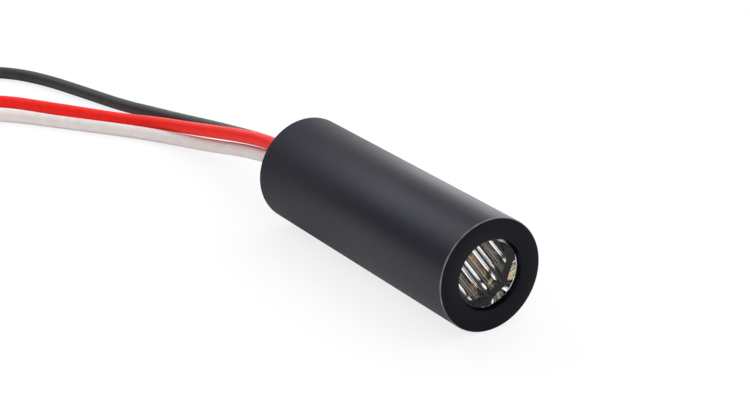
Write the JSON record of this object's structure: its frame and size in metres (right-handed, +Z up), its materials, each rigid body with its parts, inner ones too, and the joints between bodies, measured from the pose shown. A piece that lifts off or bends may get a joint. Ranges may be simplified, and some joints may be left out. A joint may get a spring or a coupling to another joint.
{
  "type": "laser diode module",
  "caption": "Slim cylindrical line laser module: black anodised tube, corrugated clear lens recessed in its front face, sealed rear plug and loose power leads.",
  "frame": {"origin": "on the surface that the module lies on, below the middle of the housing", "axes": "+X along the beam, out of the lens; +Z up; +Y to the left when looking along the beam"},
  "size_m": [0.1065, 0.0445, 0.012],
  "materials": {
    "black_anodised": "satin",
    "clear_acrylic": "polished",
    "optical_glass": "polished",
    "brass": "machined",
    "nickel_plate": "satin",
    "gold_plate": "satin",
    "chip_dark": "polished",
    "board_green": "satin",
    "component_black": "matt",
    "component_tan": "satin",
    "component_white": "satin",
    "solder_tin": "bright",
    "sleeve_film": "satin",
    "plug_black": "matt",
    "epoxy_black": "gloss",
    "red_insulation": "satin",
    "white_insulation": "satin",
    "black_insulation": "satin",
    "tinned_copper": "bright"
  },
  "bodies": {
    "root": {"housing": "black_anodised", "line_lens": "clear_acrylic", "diode_holder": "brass", "collimator_cell": "brass", "collimator_lens": "optical_glass", "lens_retainer": "brass", "diode_header": "gold_plate", "diode_cap": "nickel_plate", "diode_window": "optical_glass", "laser_submount": "gold_plate", "laser_chip": "chip_dark", "diode_pins": "gold_plate", "pin_seals": "optical_glass", "driver_board": "board_green", "chip_resistors": "component_black", "ceramic_capacitors": "component_tan", "driver_transistor": "component_black", "transistor_legs": "tinned_copper", "trimmer_body": "component_white", "trimmer_rotor": "nickel_plate", "solder_joints": "solder_tin", "soldered_cores": "tinned_copper", "insulating_sleeve": "sleeve_film", "rear_plug": "plug_black", "lead_seal": "epoxy_black", "red_lead": "red_insulation", "white_lead": "white_insulation", "black_lead": "black_insulation", "red_tip": "tinned_copper", "white_tip": "tinned_copper", "black_tip": "tinned_copper"}
  },
  "joints": []
}
